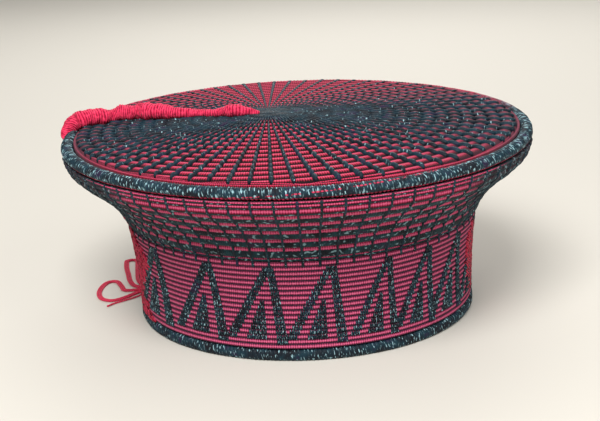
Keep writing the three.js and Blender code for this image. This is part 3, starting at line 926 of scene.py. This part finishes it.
height = np.where(on_border, crown - 2.0 + 1.2 * coil_swell(rings[j]), height)
turn = np.where(on_border, DISC_COILS + rings[j], distance / DISC_PITCH + 1e-4)
turn = np.where(is_under & (distance > edge - 0.01), DISC_COILS + border[-1], turn)
centre = distance < 0.01
height = np.where(centre, height[centre].mean() + np.where(is_under, -1.8, 1.8), height)
places = np.column_stack([
    RIB_CENTRE[0] + distance * np.cos(direction) + SHIFT_X,
    RIB_CENTRE[1] + distance * np.sin(direction),
    height,
]) * MM
close_up(bm, places, i / disc_across, turn)
# Thick coils: bright red lines at the front and back with a painted highlight on their crests, and
# painted shade making them darker and greyer at the left and right
disc_yarn = wound_yarn(
    "red_acrylic_yarn_disc_coils", "#DC4A6E", "#A81A38", "#1E0A10", 0.5, 0.4, 18, 36.6, 0.1, 0.8
)
top_disc = finished("top_disc_coils", bm, [disc_yarn])
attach(top_disc, "root")
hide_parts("top_disc")

disc_ribs = []
for direction in rib_directions:
    far = float(rib_reach(direction, DISC_EDGE))
    ahead = np.array([math.cos(direction), math.sin(direction), 0.0])
    aside = np.array([-math.sin(direction), math.cos(direction), 0.0])
    # The ribs stand up most at the front, half as much at the sides and hardly at all behind
    behind = min(max((math.sin(direction) - 0.2) / 0.25, 0), 1)
    flat = (1 - 0.85 * behind) * (0.5 + 0.5 * abs(math.sin(direction)))
    for coil in range(DISC_COILS):
        start = (coil + 0.5) * DISC_PITCH - RIB_STITCH / 2
        end = min(start + RIB_STITCH, far - DISC_BORDER + 0.8)
        if end < start + 3:
            break
        distance = (start + end) / 2
        share = distance / far
        rise = (1.1 + 0.008 * distance) * flat
        slope = -DISC_CROWN * DISC_BEND * share ** (DISC_BEND - 1) / far
        along = unit(ahead + np.array([0, 0, slope]))
        out = np.cross(along, aside)
        middle = np.array([
            RIB_CENTRE[0] + ahead[0] * distance + SHIFT_X,
            RIB_CENTRE[1] + ahead[1] * distance,
            float(disc_top(share)) + 0.2,
        ]) * MM
        wide = (1.1 + 0.0125 * distance) * 1.15
        sizes = ((end - start) / 2 * MM, wide / 2 * MM, (rise + 0.6) * MM)
        disc_ribs.append((middle, along, aside, out, sizes))
laid_stitches("disc_rib_stitches", disc_ribs, rib_yarn)

# ---------------------------------------------------------------------------
# Seam roll: bright red yarn wrapped into a lumpy roll where the disc's ends
# are joined, from the ribs' centre to the left edge and over it.
# ---------------------------------------------------------------------------
SEAM_AZIMUTH = math.radians(171)
SEAM_BOW = 11.5
SEAM_RADIUS = 5.0
SEAM_ROWS = [  # share of the line, share of the bow, share of the radius
    (0.04, -0.1, 0.16), (0.1, -0.2, 0.48), (0.155, -0.22, 0.74), (0.21, -0.1, 0.58),
    (0.28, 0.1, 0.4), (0.36, 0.34, 0.44), (0.45, 0.43, 0.58), (0.53, 0.52, 0.84),
    (0.6, 0.72, 0.96), (0.66, 0.9, 0.96), (0.72, 1, 0.84), (0.78, 0.97, 0.92),
    (0.835, 0.8, 0.72), (0.875, 0.6, 0.86), (0.925, 0.35, 1), (0.97, 0.1, 0.96),
]
SEAM_END_ROWS = [  # degrees over the rim, share of the radius
    (5, 0.88), (32, 0.76), (54, 0.6), (76, 0.44), (94, 0.26),
]
SEAM_WRAP = 1.5  # from turn to turn
SEAM_FLAT = 1.35  # times as wide as high

seam_start = np.array([*RIB_CENTRE, 0.0])
roll_path = RIM_RADIUS - RIM_ROLL
shift = np.array([SHIFT_X, 0, 0])
seam_end = hat_place(roll_path, np.array([SEAM_AZIMUTH]), np.array([RIM_HEIGHT]))[0] / MM - shift
run = (seam_end - seam_start) * [1, 1, 0]
side = unit(np.array([run[1], -run[0], 0.0]))
stations = []
for share, bow, thick in SEAM_ROWS:
    radius = thick * SEAM_RADIUS
    point = seam_start + share * run + bow * SEAM_BOW * side
    off = point[:2] - seam_start[:2]
    gone = np.hypot(*off) / float(rib_reach(math.atan2(off[1], off[0]), RIM_RADIUS - 2 * RIM_ROLL))
    stations.append((point[0], point[1], float(disc_top(gone)) + 1.5 + radius, radius))
for turn, thick in SEAM_END_ROWS:
    radius = thick * SEAM_RADIUS
    far = RIM_ROLL * 1.06 + 0.3 + radius
    turn = math.radians(turn)
    azimuth = np.array([SEAM_AZIMUTH + 0.06 * turn])
    point = hat_place(roll_path + far * math.sin(turn), azimuth, np.array([RIM_HEIGHT]))[0] / MM - shift
    stations.append((point[0], point[1], RIM_HEIGHT + far * math.cos(turn), radius))
spine = smooth_line(stations, 20)
seam_sides = 20
bm, i, j = wrapped_grid(seam_sides, len(spine) + 1)
k = np.clip(j - 1, 0, len(spine) - 1)
ahead = unit(np.gradient(spine[:, :3], axis=0))
across = unit(np.cross(np.array([0, 0, 1.0]), ahead))
upward = np.cross(ahead, across)
length = np.concatenate([[0], np.cumsum(np.linalg.norm(np.diff(spine[:, :3], axis=0), axis=1))])
turn = i * 2 * math.pi / seam_sides
wrap = length[k] / SEAM_WRAP + 0.5 * np.cos(turn) + 0.4 * np.sin(length[k] * 0.31)
lumps = 0.06 * np.sin(length[k] * 0.42 + 2 * np.cos(turn))
lumps += 0.05 * np.sin(length[k] * 0.9 + 3 * np.sin(turn))
tufts = np.random.default_rng(5).normal(0, 0.035, len(spine) * seam_sides)
tufts = tufts[k * seam_sides + i % seam_sides]
size = (spine[k, 3] + 0.5) * (1 + lumps + tufts + 0.06 * (np.abs(np.sin(math.pi * wrap)) - 0.6))
size = np.where((j == 0) | (j == len(spine) + 1), 0, size)
places = (
    spine[k, :3] + shift
    + across[k] * (size * SEAM_FLAT * np.cos(turn) + 0.3 * size + 1.8)[:, None]
    + upward[k] * (size * np.sin(turn) - 1.3)[:, None]
) * MM
close_up(bm, places, wrap, i / seam_sides)
# Wrapped thickly and unevenly: bright matt red with soft tufts about 2 mm wide
seam_yarn = plain_yarn(
    "bright_red_acrylic_yarn_wrapped", "#EC3E64", "#CE2048", "#8E1032", 2.2, 2.4
)
seam_roll = finished("seam_roll_yarn", bm, [seam_yarn])
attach(seam_roll, "root")
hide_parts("seam_roll")

# ---------------------------------------------------------------------------
# Floor and light: a pale matt sheet, a broad lamp above the front, two weak
# ones at the right and behind, and even light all round.
# ---------------------------------------------------------------------------
bm = bmesh.new()
bmesh.ops.create_grid(bm, x_segments=1, y_segments=1, size=3.0)
floor_paper, shader = new_material("pale_matt_paper", 0.9, 0.0, 0.2)
shader.inputs["Base Color"].default_value = linear("#D9D4CA")
floor = finished("floor", bm, [floor_paper])

for name, place, power, size in (
    ("key_lamp", (-0.2, -1.0, 1.25), 26, 0.7),
    ("fill_lamp", (0.9, -0.7, 0.8), 4, 1.0),
    ("back_lamp", (0.1, 1.1, 0.9), 9, 1.0),
):
    lamp = bpy.data.lights.new(name, "AREA")
    lamp.energy = power
    lamp.size = size
    holder = bpy.data.objects.new(name, lamp)
    bpy.context.scene.collection.objects.link(holder)
    holder.location = place
    holder.rotation_euler = (Vector((0, 0, 0.08)) - Vector(place)).to_track_quat("-Z", "Y").to_euler()
world = bpy.data.worlds.new("soft_room")
world.use_nodes = True
world.node_tree.nodes["Background"].inputs["Color"].default_value = linear("#F2F1EE")
world.node_tree.nodes["Background"].inputs["Strength"].default_value = 0.38
bpy.context.scene.world = world
